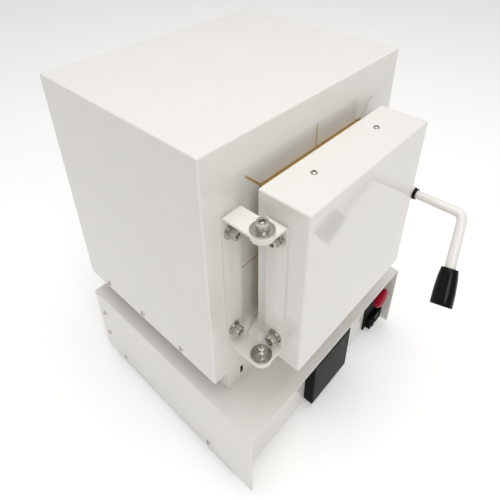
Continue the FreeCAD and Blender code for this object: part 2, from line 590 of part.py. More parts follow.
door_ear_low = f"({HINGE_LOW} + hinge_gauge + ear_gap)"
door_ear_span = "(hinge_height - 2 * hinge_gauge - 2 * ear_gap)"
ear_reach = f"({DOOR_LEFT} - {PIVOT_X})"
door_channel = folded_sheet("door_bracket_sheet", f"{ear_reach} + hinge_width / 2", "hinge_width",
                            door_ear_span,
                            (f"{PIVOT_X} - hinge_width / 2", f"{PIVOT_Y} - hinge_width / 2",
                             door_ear_low),
                            [("right", "top"), ("right", "bottom")],
                            [(-1, 0, 0), (0, -1, 0), (0, 1, 0)], "hinge_gauge", "hinge_bend")
door_outline = joined(bar("hinge_width / 2", door_ear_span, PIVOT_X, PIVOT_Y, door_ear_low),
                      block(ear_reach, "hinge_width", door_ear_span, PIVOT_X,
                            f"{PIVOT_Y} - hinge_width / 2", door_ear_low))
door_pivot_hole = bar("bolt_radius + pivot_play", "hinge_height + 4", PIVOT_X, PIVOT_Y,
                      f"{HINGE_LOW} - 2")
node("hinge_bracket_door", cut(shared(door_channel, door_outline), door_pivot_hole,
                               *door_bolt_holes))

# Bolts of the hinge. Each bracket bolt ends in a nut behind its sheet.
stack = "(spring_gauge + washer_gauge)"
bracket_reach = f"{stack} + hinge_gauge + sheet + nut_height + bolt_end"
door_reach = f"{stack} + hinge_gauge + 2 * sheet + seam + nut_height + bolt_end"


def bolt_set(x, y, z, way, reach, through):
    """Four lists for one bracket: its bolts, flat washers, spring washers and nuts."""
    out = opposite(way)
    heads = [socket_bolt(*moved(x, y, level, out, stack), way, reach) for level in z]
    flats = [ring("washer_radius", "bolt_radius", "washer_gauge", x, y, level, out) for level in z]
    springs = [split_ring(*moved(x, y, level, out, "washer_gauge"), out) for level in z]
    nuts = [nut(*moved(x, y, level, way, through), way) for level in z]
    return heads, flats, springs, nuts


fixed_set = bolt_set(CASING_BOLT_X, f"({FRONT} - hinge_gauge)", HINGE_BOLTS, "y", bracket_reach,
                     "hinge_gauge + sheet")
door_set = bolt_set(f"({DOOR_LEFT} - hinge_gauge)", DOOR_BOLT_Y, HINGE_BOLTS, "x", door_reach,
                    "hinge_gauge + 2 * sheet + seam")
nodes("casing_hinge_bolts", fixed_set[0])
nodes("door_hinge_bolts", door_set[0])
nodes("door_flat_washers", door_set[1])
nodes("door_spring_washers", door_set[2])
nodes("door_hinge_nuts", door_set[3])

# Pivots: the top bolt hangs from its head, the lower one stands on its head with the nut above.
ears = "(2 * hinge_gauge + 2 * ear_gap)"
nodes("pivot_bolts", [
    socket_bolt(PIVOT_X, PIVOT_Y, f"({HINGE_TOP} + {stack})", "-z",
                f"{stack} + {ears} + washer_gauge + nut_height + bolt_end"),
    socket_bolt(PIVOT_X, PIVOT_Y, HINGE_LOW, "z", f"{ears} + {stack} + nut_height + pivot_end")])
nodes("casing_flat_washers", fixed_set[1] + [
    ring("pivot_washer", "bolt_radius", "washer_gauge", PIVOT_X, PIVOT_Y, HINGE_TOP, "z"),
    ring("pivot_washer", "bolt_radius", "washer_gauge", PIVOT_X, PIVOT_Y,
         f"({HINGE_TOP} - {ears})", "-z"),
    ring("pivot_washer", "bolt_radius", "washer_gauge", PIVOT_X, PIVOT_Y,
         f"({HINGE_LOW} + {ears})", "z")])
nodes("casing_spring_washers", fixed_set[2] + [
    split_ring(PIVOT_X, PIVOT_Y, f"({HINGE_TOP} + washer_gauge)", "z"),
    split_ring(PIVOT_X, PIVOT_Y, f"({HINGE_LOW} + {ears} + washer_gauge)", "z")])
nodes("casing_hinge_nuts", fixed_set[3] + [
    nut(PIVOT_X, PIVOT_Y, f"({HINGE_TOP} - {ears} - washer_gauge)", "-z"),
    nut(PIVOT_X, PIVOT_Y, f"({HINGE_LOW} + {ears} + {stack})", "z")])

# Latch: a bush on the door's edge, a bent lever turning in it, and a tongue behind a keeper.
BUSH_FRONT = f"({DOOR_FRONT} + bush_inset)"
BUSH_BACK = f"({DOOR_BACK} - bush_inset)"
bush = cut(bar("bush_radius", f"{BUSH_BACK} - {BUSH_FRONT}", LATCH_X, BUSH_FRONT, LATCH_Z, "y"),
           bar("lever_radius + bush_play", f"{BUSH_BACK} - {BUSH_FRONT}", LATCH_X, BUSH_FRONT,
               LATCH_Z, "y"))
node("latch_bush", bush)

TONGUE_BACK = f"({FRONT} - tongue_stand)"
TONGUE_FRONT = f"({TONGUE_BACK} - tongue_gauge)"
COLLAR_BACK = f"({BUSH_FRONT} - ear_gap)"
COLLAR_FRONT = f"({COLLAR_BACK} - collar_length)"

# The lever is laid out hanging straight down from an axis at x = 0, z = 0, then turned to rest.
CORNER_Y = f"({DOOR_FRONT} - lever_reach)"
TRIM = "(lever_bend * tan(45 - lever_lean / 2))"
down = (1, 0, 0, 180 - value("lever_lean"))
straight = bar("lever_radius", f"{TONGUE_BACK} - {COLLAR_FRONT}", "0", COLLAR_FRONT, "0", "y")
taper = cone("lever_radius", "lever_neck", f"{COLLAR_FRONT} - {CORNER_Y} - {TRIM}",
             "0", COLLAR_FRONT, "0", ALONG["-y"])
elbow = doc.addObject("Part::Torus", "elbow")
bind(elbow, "Radius1", "lever_bend")
bind(elbow, "Radius2", "lever_neck")
bind(elbow, "Angle3", "90 - lever_lean")
place(elbow, "0", f"{CORNER_Y} + {TRIM}", "0 - lever_bend",
      FreeCAD.Rotation(FreeCAD.Vector(0, 0, 1), FreeCAD.Vector(0, -1, 0),
                       FreeCAD.Vector(1, 0, 0), "XYZ"))
leg = cone("lever_neck", "lever_end", f"lever_leg - {TRIM}", "0",
           f"{CORNER_Y} - {TRIM} * sin(lever_lean)", f"0 - {TRIM} * cos(lever_lean)", down)
GRIP_Y = f"({CORNER_Y} - lever_leg * sin(lever_lean))"
GRIP_DROP = "(lever_leg * cos(lever_lean))"
spigot = place(bar("spigot_radius", "spigot_length", "0", "0", "0"),
               "0", GRIP_Y, f"0 - {GRIP_DROP}", down)
rest = FreeCAD.Rotation(FreeCAD.Vector(0, 1, 0), value("lever_rest"))
node("latch_rod", place(joined(straight, taper, elbow, leg, spigot), LATCH_X, "0", LATCH_Z, rest))

grip_outline = [("spigot_radius", "0"), ("grip_neck - grip_edge", "0"), ("grip_neck", "grip_edge"),
                ("grip_radius", "grip_length - grip_edge - grip_dome"),
                ("grip_radius - grip_edge", "grip_length - grip_dome"),
                ("grip_radius / 2", "grip_length - grip_dome / 4"), ("0", "grip_length"),
                ("0", "spigot_length"), ("spigot_radius", "spigot_length")]
node("latch_grip", turned("grip", grip_outline, f"{LATCH_X} - {GRIP_DROP} * sin(lever_rest)",
                          GRIP_Y, f"{LATCH_Z} - {GRIP_DROP} * cos(lever_rest)",
                          rest.multiply(FreeCAD.Rotation(FreeCAD.Vector(*down[:3]), down[3]))))
node("latch_collar", ring("collar_radius", "lever_radius", "collar_length", LATCH_X, COLLAR_FRONT,
                          LATCH_Z, "y"))
hub = bar("bush_radius", "tongue_gauge", LATCH_X, TONGUE_FRONT, LATCH_Z, "y")
blade = block("tongue_width", "tongue_gauge", "tongue_length", f"{LATCH_X} - tongue_width / 2",
              TONGUE_FRONT, f"{LATCH_Z} - tongue_length")
node("latch_tongue", cut(joined(hub, blade),
                         bar("lever_radius", "tongue_gauge", LATCH_X, TONGUE_FRONT, LATCH_Z, "y")))

LIP_BACK = f"({TONGUE_FRONT} - keeper_play)"
LIP_FRONT = f"({LIP_BACK} - keeper_gauge)"
KEEPER_LOW = f"({LATCH_Z} - keeper_height / 2)"
keeper = joined(block("keeper_lip + keeper_gauge", "keeper_gauge", "keeper_height",
                      f"{KEEPER_X} - keeper_lip", LIP_FRONT, KEEPER_LOW),
                block("keeper_gauge", f"{FRONT} - {LIP_FRONT}", "keeper_height", KEEPER_X,
                      LIP_FRONT, KEEPER_LOW),
                block("keeper_gauge + keeper_flange", "keeper_gauge", "keeper_height", KEEPER_X,
                      f"{FRONT} - keeper_gauge", KEEPER_LOW))
node("latch_keeper", cut(keeper, *keeper_holes))
nodes("keeper_screws", [screw(x, f"{FRONT} - keeper_gauge", z, "y") for x, z in KEEPER_SCREWS])

# Temperature controller: a deep case behind the panel, a bezel in front and a full-face window.
BEZEL_FRONT = f"({PANEL} - bezel_depth)"
WINDOW = "(bezel_width - 2 * bezel_rim)"
bezel = block("bezel_width", "bezel_depth", "bezel_width", BEZEL_LEFT, BEZEL_FRONT, BEZEL_LOW)
case = block("case_width", "case_depth + sheet", "case_width", CASE_LEFT, PANEL, CASE_LOW)
window_recess, window = [block(WINDOW, "window_gauge", WINDOW, f"{BEZEL_LEFT} + bezel_rim",
                               BEZEL_FRONT, f"{BEZEL_LOW} + bezel_rim") for copy in range(2)]
node("controller_case", cut(joined(bezel, case), window_recess))
node("controller_window", window)

# Switch plate with a mushroom stop button over a rocker switch.
PLATE_FRONT = f"({PANEL} - switch_gauge)"
PLATE_LEFT = "(switch_shift - switch_width / 2)"
node("switch_plate", cut(block("switch_width", "switch_gauge", "switch_height", PLATE_LEFT,
                               PLATE_FRONT, f"{BASE_LOW} + switch_low"), stop_hole, rocker_hole))
node("stop_collar", ring("stop_collar", "stop_neck + play", "collar_proud", "switch_shift",
                         f"{PLATE_FRONT} - collar_proud", STOP_Z, "y"))
stop_back = "(stop_stand + switch_gauge + stop_tail)"
stop_outline = [("0", "0"), ("stop_neck", "0"), ("stop_neck", stop_back),
                ("stop_radius - 1", stop_back), ("stop_radius", f"{stop_back} + 1"),
                ("stop_radius", f"{stop_back} + stop_rim"),
                ("stop_radius * 0.8", f"{stop_back} + stop_rim + stop_dome * 0.55"),
                ("stop_radius * 0.45", f"{stop_back} + stop_rim + stop_dome * 0.9"),
                ("0", f"{stop_back} + stop_rim + stop_dome")]
node("stop_button", turned("stop", stop_outline, "switch_shift", f"{PANEL} + stop_tail", STOP_Z,
                           (1, 0, 0, 90)))

FRAME_FRONT = f"({PLATE_FRONT} - frame_proud)"
throat_width = "(frame_width - 2 * frame_rim)"
throat_height = "(frame_height - 2 * frame_rim)"
rocker_reach = f"({throat_width} / 2 - play)"
frame_face = block("frame_width", "frame_proud", "frame_height", FRAME_LEFT, FRAME_FRONT, FRAME_LOW)
frame_body = block("frame_width - frame_rim", "switch_gauge + frame_depth",
                   "frame_height - frame_rim", f"{FRAME_LEFT} + frame_rim / 2", PLATE_FRONT,
                   f"{FRAME_LOW} + frame_rim / 2")
throat = block(throat_width, f"rocker_axis + {rocker_reach} + 2 * play", throat_height,
               f"{FRAME_LEFT} + frame_rim", FRAME_FRONT, f"{FRAME_LOW} + frame_rim")
node("rocker_frame", cut(joined(frame_face, frame_body), throat))

# The rocker is a drum about its own pivot, planed off to two sloping faces. It rests tipped.
PIVOT_Y_ROCKER = f"({FRAME_FRONT} + rocker_axis)"
drum_height = f"({throat_height} - 2 * play)"
drum = bar(rocker_reach, drum_height, ROCKER_X, PIVOT_Y_ROCKER, f"{ROCKER_Z} - {drum_height} / 2")
tip = value("rocker_throw") / 2
slope = value("rocker_face")
ridge_x = f"({ROCKER_X} + {math.sin(math.radians(tip)):.6f} * rocker_ridge)"
ridge_y = f"({PIVOT_Y_ROCKER} - {math.cos(math.radians(tip)):.6f} * rocker_ridge)"
planes = [block("frame_width", "frame_width", "frame_height", ridge_x, ridge_y,
                f"{ROCKER_Z} - frame_height / 2", (0, 0, 1, turn))
          for turn in (tip - slope - 90, tip + slope - 180)]
node("rocker", cut(drum, *planes))

# Inside the base: a solid-state relay on its heat sink and a terminal strip. Behind: the gland.
relay_left = "(0 - 100 - relay_width / 2)"
FLOOR = f"({BASE_LOW} + sheet)"
node("heat_sink", joined(
    block("relay_width", "relay_length", "sink_gauge", relay_left, FRONT, FLOOR),
    *[block("2", "relay_length", "relay_height", f"{relay_left} + {step} * (relay_width - 2)",
            FRONT, FLOOR) for step in (0, 1)]))
node("relay", block("relay_width - 8", "relay_length - 8", "relay_height - 4",
                    f"{relay_left} + 4", f"{FRONT} + 4", f"{FLOOR} + sink_gauge"))
strip_left = "(0 - gland_shift - strip_length / 2 + 40)"
strip = block("strip_length", "strip_width", "strip_height", strip_left, f"{BACK} - 110", FLOOR)
strip_wells = [bar("2.6", "8", f"{strip_left} + {11 + 12 * step}",
                   f"{BACK} - 110 + strip_width / 2", f"{FLOOR} + strip_height - 6")
               for step in range(6)]
node("terminal_strip", cut(strip, *strip_wells))

gland_outline = [("gland_bore", "0"), ("gland_thread", "0"), ("gland_thread", "6"),
                 ("gland_radius", "6"), ("gland_radius", "11"), ("gland_radius * 0.86", "12"),
                 ("gland_radius * 0.86", "gland_length"), ("gland_radius * 0.6", "6 + gland_length"),
                 ("gland_bore", "6 + gland_length")]
node("cable_gland", turned("gland", gland_outline, "0 - gland_shift", f"{BACK} - 6", GLAND_Z,
                           (1, 0, 0, -90)))

doc.recompute()
for item in doc.Objects:
    if "Invalid" in item.State or "Error" in item.State:
        raise RuntimeError(f"{item.Label} did not build: {item.State}")
os.makedirs("parts", exist_ok=True)
for item in NODES:
    shape = item.Shape
    if shape.isNull() or not shape.isValid() or not shape.Solids:
        raise RuntimeError(f"{item.Label} has no sound shape")
    shape.exportStep(f"parts/{item.Label}.step")
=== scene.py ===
import json
import math

import bpy
from mathutils import Matrix, Vector


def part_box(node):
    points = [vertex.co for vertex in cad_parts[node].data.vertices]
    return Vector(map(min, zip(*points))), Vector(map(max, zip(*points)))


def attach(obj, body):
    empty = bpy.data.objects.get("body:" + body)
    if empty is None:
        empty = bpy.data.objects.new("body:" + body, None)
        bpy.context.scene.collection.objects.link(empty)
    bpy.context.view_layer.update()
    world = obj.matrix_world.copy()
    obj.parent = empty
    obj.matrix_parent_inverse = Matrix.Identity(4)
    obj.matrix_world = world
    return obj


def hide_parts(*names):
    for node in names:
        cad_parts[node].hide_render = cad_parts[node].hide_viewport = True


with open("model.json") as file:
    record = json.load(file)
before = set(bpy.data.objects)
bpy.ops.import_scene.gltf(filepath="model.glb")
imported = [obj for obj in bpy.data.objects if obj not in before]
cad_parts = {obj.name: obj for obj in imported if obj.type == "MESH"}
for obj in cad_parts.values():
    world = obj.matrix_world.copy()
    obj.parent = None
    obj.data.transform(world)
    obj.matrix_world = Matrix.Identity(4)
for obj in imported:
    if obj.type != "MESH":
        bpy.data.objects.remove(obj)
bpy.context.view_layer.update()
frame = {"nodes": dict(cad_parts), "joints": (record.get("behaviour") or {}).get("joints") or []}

# Casing, plinth and base covers: folded sheet steel, welded and ground at the corners, then
# powder-coated and baked. The coat is thick and glassy, so it mirrors the bolts and the lever,
# and it keeps a faint ripple and a slow drift of tone from the baking.
MM = 0.001


def linear(code):
    """An sRGB hex colour as linear RGBA."""
    channels = [int(code[step:step + 2], 16) / 255 for step in (1, 3, 5)]
    return [c / 12.92 if c <= 0.04045 else ((c + 0.055) / 1.055) ** 2.4 for c in channels] + [1.0]


def add_node(material, kind, links=(), tones=(), **settings):
    """Adds a node: links are (input, node, output), tones colour a ramp, settings are its inputs."""
    node = material.node_tree.nodes.new(kind)
    for name, setting in settings.items():
        if name.replace("_", " ") in node.inputs:
            node.inputs[name.replace("_", " ")].default_value = setting
        else:
            setattr(node, name, setting)
    for element, tone in zip(node.color_ramp.elements if tones else (), tones):
        element.color = linear(tone)
    for socket, other, output in links:
        material.node_tree.links.new(other.outputs[output], node.inputs[socket])
    return node


def surface(name, tones, grain, relief, **skin_settings):
    """A two-toned surface: its grain size and relief in metres, and the settings of its skin."""
    stuff = bpy.data.materials.new(name)
    stuff.use_nodes = True
    stuff.node_tree.nodes.clear()
    place = add_node(stuff, "ShaderNodeTexCoord")
    grains = add_node(stuff, "ShaderNodeTexNoise", [("Vector", place, "Object")],
                      Scale=1 / grain, Detail=3.0)
    colour = add_node(stuff, "ShaderNodeValToRGB", [("Fac", grains, "Fac")], tones)
    bump = add_node(stuff, "ShaderNodeBump", [("Height", grains, "Fac")], Strength=0.5,
                    Distance=relief)
    skin = add_node(stuff, "ShaderNodeBsdfPrincipled",
                    [("Base Color", colour, "Color"), ("Normal", bump, "Normal")], **skin_settings)
    add_node(stuff, "ShaderNodeOutputMaterial", [("Surface", skin, "BSDF")])
    return stuff


def coat(material, *labels):
    """Gives CAD nodes a material."""
    for label in labels:
        frame["nodes"][label].data.materials.clear()
        frame["nodes"][label].data.materials.append(material)


# Baked gloss powder coat: a ripple 60 mm from crest to crest that only bends the reflections.
white_powder_coat = surface("white_powder_coat", ("#DDDBD7", "#E1DFDB"), 60 * MM, 0.02 * MM,
                            Roughness=0.08, IOR=1.5)
coat(white_powder_coat, "casing_shell", "casing_rear_cover", "plinth", "base_shell",
     "base_front_panel", "base_rear_cover")

# Trays under the casing and the base, and the door's back plate: hot-dip galvanised sheet,
# cut and folded after dipping. The zinc froze in broad crystals, which show as a soft spangle.
coat(surface("galvanised_sheet", ("#8F9292", "#B4B7B7"), 9 * MM, 0.01 * MM, Metallic=1.0,
             Roughness=0.38), "base_floor", "casing_floor", "door_back_plate")

# Feet: black rubber moulded in one piece and screwed under the tray.
# Rubber is matt and slightly pitted from its mould.
coat(surface("moulded_rubber", ("#0E0E0E", "#1A1A1A"), 1 * MM, 0.05 * MM, Roughness=0.8),
     "rubber_feet")

# Door: a folded steel pan coated like the casing, packed with wool and backed by a plate.
# The plug that fills the doorway and the board behind it are pressed vermiculite: golden mica
# flakes 2 mm across in a binder, matt. Its paler flecks are painted glints where a flake lies
# flat, and both golds are lifted as painted light on the shaded strip along the door's top edge.
coat(white_powder_coat, "door_shell")
# Vermiculite: the paler flecks are painted glints, and both golds carry painted light.
coat(surface("vermiculite_with_painted_light", ("#C4A060", "#EED49A"), 2 * MM, 0.25 * MM, Roughness=0.75),
     "door_plug", "front_board")
coat(surface("ceramic_fibre_wool", ("#E2E0DA", "#F4F3EF"), 3 * MM, 0.8 * MM, Roughness=1.0),
     "door_filling", "insulation_wrap", "insulation_rear")

# Chamber: slabs of insulating firebrick, sawn and grooved, round a loose cordierite hearth.
# Firebrick is foamed clay, so it is cream, dead matt and full of pores 1.5 mm wide.
coat(surface("sawn_firebrick", ("#D8CDB4", "#EFE7D3"), 1.5 * MM, 0.4 * MM, Roughness=0.9),
     "lining_floor", "lining_roof", "lining_left", "lining_right", "lining_rear")
coat(surface("fired_cordierite", ("#CFC4AC", "#E2D9C4"), 1.4 * MM, 0.15 * MM, Roughness=0.8),
     "hearth_plate", "thermocouple_sheath")

# Heating elements: iron-chromium wire close-wound on a mandrel and laid in the side grooves.
# The first firing covers the wire with a dull grey-brown oxide.
oxidised_wire = surface("oxidised_resistance_wire", ("#4B443F", "#6E655D"), 1.2 * MM, 0.02 * MM,
                        Metallic=0.7, Roughness=0.6)
coat(oxidised_wire, "element_terminals")
COIL_RADIUS, WIRE_RADIUS, COIL_PITCH = 5 * MM, 0.7 * MM, 3 * MM
coil_low, coil_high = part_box("heating_coils")
coil_turns = int((coil_high.y - coil_low.y - 2 * WIRE_RADIUS) / COIL_PITCH)
bpy.ops.object.select_all(action="DESELECT")
bpy.ops.mesh.primitive_circle_add(vertices=8, radius=WIRE_RADIUS, fill_type="NGON",
                                  location=(COIL_RADIUS - WIRE_RADIUS, 0, 0),
                                  rotation=(math.pi / 2, 0, 0))
coil_model = bpy.context.object
bpy.ops.object.transform_apply(location=True, rotation=True, scale=True)
winding = coil_model.modifiers.new("winding", "SCREW")
winding.steps = winding.render_steps = 14
winding.iterations = coil_turns
winding.screw_offset = COIL_PITCH
bpy.ops.object.modifier_apply(modifier="winding")
bpy.ops.object.mode_set(mode="EDIT")
bpy.ops.mesh.select_all(action="SELECT")
bpy.ops.mesh.remove_doubles(threshold=0.001 * MM)
bpy.ops.mesh.normals_make_consistent(inside=False)
bpy.ops.object.mode_set(mode="OBJECT")
coil_middle = (coil_low.z + coil_high.z) / 2
coil_levels = (coil_low.z + COIL_RADIUS, coil_middle, coil_high.z - COIL_RADIUS)
coil_copies = []
for side in (coil_low.x + COIL_RADIUS, coil_high.x - COIL_RADIUS):
    for level in coil_levels:
        coil = coil_model.copy()
        coil.data = coil_model.data.copy()
        bpy.context.collection.objects.link(coil)
        coil.data.transform(Matrix.Translation((side, coil_low.y + WIRE_RADIUS, level))
                            @ Matrix.Rotation(-math.pi / 2, 4, "X"))
        coil_copies.append(coil)
bpy.data.objects.remove(coil_model)
for coil in coil_copies:
    coil.select_set(True)
bpy.context.view_layer.objects.active = coil_copies[0]
bpy.ops.object.join()
wound_coils = bpy.context.object
wound_coils.name = "wound_coils"
bpy.ops.object.shade_smooth()
wound_coils.data.materials.append(oxidised_wire)
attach(wound_coils, "housing")
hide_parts("heating_coils")

# Hinge brackets: two channels bent from 3 mm steel strip, one for the casing and one for the
# door. Their ears are rounded, drilled for the pivots, and coated white with the rest.
coat(white_powder_coat, "hinge_bracket_casing", "hinge_bracket_door")

# Nuts, washers and the latch's tongue: carbon steel, barrel-plated with zinc and passivated
# bright. The tumbling leaves a shine that blurs what it mirrors.
bright_zinc = surface("bright_zinc_plate", ("#A9A69F", "#D2CFC8"), 6 * MM, 0.001 * MM,
                      Metallic=1.0, Roughness=0.24)
coat(bright_zinc, "casing_flat_washers", "door_flat_washers", "casing_spring_washers",
     "door_spring_washers", "casing_hinge_nuts", "door_hinge_nuts", "latch_tongue")

# Hinge bolts: M8 socket-head cap screws, cold-headed, knurled round the side for the fingers
# and broached with a six-sided socket for the key. They are plated like the nuts.
HEAD_RADIUS, HEAD_HEIGHT, SHANK_RADIUS, SOCKET = 6.6 * MM, 8 * MM, 4 * MM, 3.4 * MM
KNURLS, KNURL_RATIO, HEAD_RIM, BOLT_ROUNDING = 30, 0.93, 0.8 * MM, 0.25 * MM


def pick_end(model, side):
    """Leaves a model in edit mode with only its top (1) or its bottom (-1) face selected."""
    bpy.ops.object.mode_set(mode="EDIT")
    bpy.ops.mesh.select_all(action="DESELECT")
    bpy.ops.object.mode_set(mode="OBJECT")
    for face in model.data.polygons:
        face.select = face.normal.z * side > 0.9
    bpy.ops.object.mode_set(mode="EDIT")


bpy.ops.object.select_all(action="DESELECT")
bpy.ops.mesh.primitive_cylinder_add(vertices=2 * KNURLS, radius=HEAD_RADIUS, depth=HEAD_HEIGHT,
                                    location=(0, 0, HEAD_HEIGHT / 2))
bolt_head = bpy.context.object
bpy.ops.object.transform_apply(location=True)
bpy.ops.object.mode_set(mode="EDIT")
bpy.ops.mesh.select_all(action="DESELECT")
bpy.ops.object.mode_set(mode="OBJECT")
for place in bolt_head.data.vertices:
    place.select = round(math.atan2(place.co.y, place.co.x) * KNURLS / math.pi) % 2 == 0
bpy.ops.object.mode_set(mode="EDIT")
bpy.ops.transform.resize(value=(KNURL_RATIO, KNURL_RATIO, 1))
pick_end(bolt_head, 1)
bpy.ops.mesh.inset(thickness=HEAD_RIM)
bpy.ops.object.mode_set(mode="OBJECT")
bpy.ops.object.select_all(action="DESELECT")
bpy.ops.mesh.primitive_cylinder_add(vertices=6, radius=SOCKET / math.cos(math.pi / 6),
                                    depth=HEAD_HEIGHT, location=(0, 0, HEAD_HEIGHT * 0.95))
broach = bpy.context.object
bpy.context.view_layer.objects.active = bolt_head
socket = bolt_head.modifiers.new("socket", "BOOLEAN")
socket.operation = "DIFFERENCE"
socket.object = broach
bpy.ops.object.modifier_apply(modifier="socket")
bpy.data.objects.remove(broach)
bpy.ops.object.select_all(action="DESELECT")
bpy.ops.mesh.primitive_cylinder_add(vertices=32, radius=SHANK_RADIUS, depth=1,
                                    location=(0, 0, -0.5))
shank = bpy.context.object
bpy.ops.object.transform_apply(location=True)
bolt_head.select_set(True)
bpy.context.view_layer.objects.active = bolt_head
bpy.ops.object.join()
bolt_model = bpy.context.object
rounding = bolt_model.modifiers.new("rounding", "BEVEL")
rounding.width = BOLT_ROUNDING
rounding.segments = 2
rounding.limit_method = "ANGLE"
rounding.angle_limit = math.radians(50)
bpy.ops.object.modifier_apply(modifier="rounding")
bpy.ops.object.shade_smooth_by_angle(angle=math.radians(35))


def fasteners(model, name, replaced, body, spots):
    """Copies of a model, joined to one piece. A spot is a seat, the way it points, a length."""
    copies = []
    for seat, way, length in spots:
        bolt = model.copy()
        bolt.data = model.data.copy()
        bpy.context.collection.objects.link(bolt)
        for place in bolt.data.vertices:
            if place.co.z < -0.5:
                place.co.z += 1 - length
        turn = Vector((0, 0, -1)).rotation_difference(Vector(way)).to_matrix().to_4x4()
        bolt.data.transform(Matrix.Translation(seat) @ turn)
        copies.append(bolt)
    bpy.ops.object.select_all(action="DESELECT")
    for bolt in copies:
        bolt.select_set(True)
    bpy.context.view_layer.objects.active = copies[0]
    bpy.ops.object.join()
    piece = bpy.context.object
    piece.name = name
    piece.data.materials.append(bright_zinc)
    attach(piece, body)
    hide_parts(replaced)


low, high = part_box("casing_hinge_bolts")
middle = (low.x + high.x) / 2
fasteners(bolt_model, "casing_cap_screws", "casing_hinge_bolts", "housing",
          [((middle, low.y + HEAD_HEIGHT, level), (0, 1, 0), high.y - low.y - HEAD_HEIGHT)
           for level in (low.z + HEAD_RADIUS, high.z - HEAD_RADIUS)])
low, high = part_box("door_hinge_bolts")
middle = (low.y + high.y) / 2
fasteners(bolt_model, "door_cap_screws", "door_hinge_bolts", "door",
          [((low.x + HEAD_HEIGHT, middle, level), (1, 0, 0), high.x - low.x - HEAD_HEIGHT)
           for level in (low.z + HEAD_RADIUS, high.z - HEAD_RADIUS)])
low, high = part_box("pivot_bolts")
middle = Vector(((low.x + high.x) / 2, (low.y + high.y) / 2, 0))
UPPER_LENGTH, LOWER_LENGTH = 20.7 * MM, 21.9 * MM
fasteners(bolt_model, "pivot_cap_screws", "pivot_bolts", "housing",
          [(middle + Vector((0, 0, high.z - HEAD_HEIGHT)), (0, 0, -1), UPPER_LENGTH),
           (middle + Vector((0, 0, low.z + HEAD_HEIGHT)), (0, 0, 1), LOWER_LENGTH)])
bpy.data.objects.remove(bolt_model)

# Cover screws: M4 pan heads, cold-headed from wire, with a cross recess punched in the dome,
# and zinc-plated. They hold the base, the casing, the door's pan and the latch's keeper.
PAN_RADIUS, PAN_RIM, PAN_DOME, THREAD_RADIUS = 3.9 * MM, 0.6 * MM, 1.6 * MM, 1.9 * MM
CROSS_LENGTH, CROSS_WIDTH, CROSS_HEIGHT = 4.6 * MM, 0.9 * MM, 2.6 * MM
bpy.ops.object.select_all(action="DESELECT")
bpy.ops.mesh.primitive_cylinder_add(vertices=32, radius=PAN_RADIUS, depth=PAN_RIM,
                                    location=(0, 0, PAN_RIM / 2))
screw_model = bpy.context.object
bpy.ops.object.transform_apply(location=True)
pick_end(screw_model, 1)
for rise, ratio in ((0.5, 0.9), (0.3, 0.8), (0.2, 0.6)):
    bpy.ops.mesh.extrude_region_move(TRANSFORM_OT_translate={"value": (0, 0, PAN_DOME * rise)})
    bpy.ops.transform.resize(value=(ratio, ratio, 1))
bpy.ops.object.mode_set(mode="OBJECT")
for turn in (0, math.pi / 2):
    bpy.ops.object.select_all(action="DESELECT")
    bpy.ops.mesh.primitive_cube_add(size=1, location=(0, 0, PAN_RIM + PAN_DOME),
                                    rotation=(0, 0, turn),
                                    scale=(CROSS_LENGTH, CROSS_WIDTH, CROSS_HEIGHT))
    punch = bpy.context.object
    bpy.context.view_layer.objects.active = screw_model
    recess = screw_model.modifiers.new("recess", "BOOLEAN")
    recess.operation = "DIFFERENCE"
    recess.object = punch
    bpy.ops.object.modifier_apply(modifier="recess")
    bpy.data.objects.remove(punch)
bpy.ops.object.select_all(action="DESELECT")
bpy.ops.mesh.primitive_cylinder_add(vertices=20, radius=THREAD_RADIUS, depth=1,
                                    location=(0, 0, -0.5))
bpy.ops.object.transform_apply(location=True)
screw_model.select_set(True)
bpy.context.view_layer.objects.active = screw_model
bpy.ops.object.join()
bpy.ops.object.shade_smooth_by_angle(angle=math.radians(35))


def screw_spots(label):
    """The seat, direction and length of each screw of a CAD node, read from its solids."""
    mesh = frame["nodes"][label].data
    owner = {}

    def root(key):
        while owner.setdefault(key, key) != key:
            key = owner[key]
        return key

    for face in mesh.polygons:
        keys = [tuple(round(value * 1e5) for value in mesh.vertices[index].co)
                for index in face.vertices]
        for key in keys[1:]:
            owner[root(key)] = root(keys[0])
    solids = {}
    for key in list(owner):
        solids.setdefault(root(key), []).append(Vector(key) / 1e5)
    spots = []
    for points in solids.values():
        low = Vector([min(point[axis] for point in points) for axis in range(3)])
        high = Vector([max(point[axis] for point in points) for axis in range(3)])
        size = high - low
        axis = max(range(3), key=lambda index: size[index])
        middle = (low + high) / 2
        wide = [point[axis] for point in points
                if (point - middle).length_squared - (point - middle)[axis] ** 2
                > (1.5 * THREAD_RADIUS) ** 2]
        outward = 1 if sum(wide) / len(wide) > middle[axis] else -1
        head_end = high[axis] if outward > 0 else low[axis]
        seat = middle.copy()
        seat[axis] = head_end - outward * (PAN_RIM + PAN_DOME)
        way = Vector((0, 0, 0))
        way[axis] = -outward
        spots.append((seat, way, size[axis] - PAN_RIM - PAN_DOME))
    return spots


for name, replaced, body in (("base_pan_heads", "base_screws", "housing"),
                             ("casing_pan_heads", "casing_screws", "housing"),
                             ("door_pan_heads", "door_screws", "door"),
                             ("keeper_pan_heads", "keeper_screws", "housing")):
    fasteners(screw_model, name, replaced, body, screw_spots(replaced))
bpy.data.objects.remove(screw_model)

# Latch: a round steel bar, bent cold and coated white, that turns in a tube welded to the
# door's edge. A blackened steel collar keeps it there, and a folded keeper stands on the casing.
coat(white_powder_coat, "latch_bush", "latch_rod", "latch_keeper")
coat(surface("blackened_steel", ("#0C0C0C", "#161614"), 1.5 * MM, 0.01 * MM,
             Metallic=0.8, Roughness=0.42), "latch_collar")

